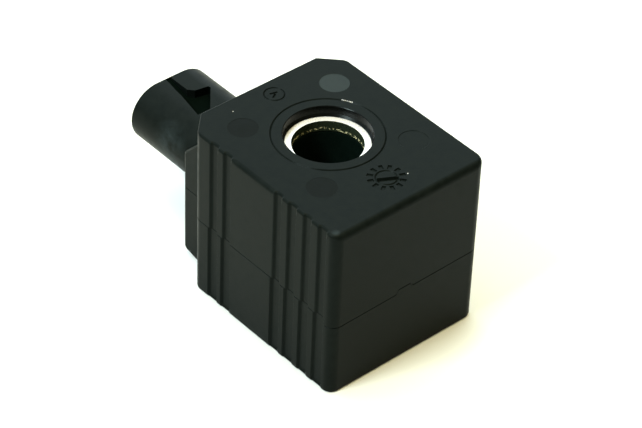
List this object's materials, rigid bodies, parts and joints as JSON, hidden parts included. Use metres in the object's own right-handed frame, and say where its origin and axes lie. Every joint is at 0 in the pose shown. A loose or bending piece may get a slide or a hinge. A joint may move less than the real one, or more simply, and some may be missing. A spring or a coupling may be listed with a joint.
{
  "type": "solenoid valve coil",
  "caption": "Encapsulated cartridge solenoid valve coil: ribbed plastic block with a through bore and an oval two-way connector shroud.",
  "frame": {"origin": "middle of the underside of the whole coil's bounding box", "axes": "+Z along the bore axis towards the face with the marks, -X towards the connector's mouth, +Y across the coil"},
  "size_m": [0.067, 0.0344, 0.0355],
  "materials": {
    "black_plastic": "satin moulded glass-filled nylon",
    "plated_steel": "bright zinc plate",
    "dark_steel": "oiled, machined",
    "bobbin_plastic": "natural moulded nylon",
    "copper": "enamelled copper wire",
    "amber_tape": "polyimide tape",
    "tinned_brass": "bright tin plate",
    "carrier_plastic": "satin",
    "diode_plastic": "moulded epoxy",
    "solder": "soldered",
    "sleeving": "woven sleeving"
  },
  "bodies": {
    "root": {"encapsulation": "black_plastic", "flux_bracket": "plated_steel", "upper_flux_bush": "dark_steel", "lower_flux_bush": "dark_steel", "bobbin": "bobbin_plastic", "winding": "copper", "winding_tape": "amber_tape", "start_lead": "copper", "finish_lead": "copper", "start_lead_sleeve": "sleeving", "start_wire_joint": "solder", "finish_wire_joint": "solder", "terminal_blade_a": "tinned_brass", "terminal_blade_b": "tinned_brass", "terminal_carrier": "carrier_plastic", "diode_body": "diode_plastic", "diode_lead_a": "tinned_brass", "diode_lead_b": "tinned_brass", "diode_joint_a": "solder", "diode_joint_b": "solder"}
  },
  "joints": []
}
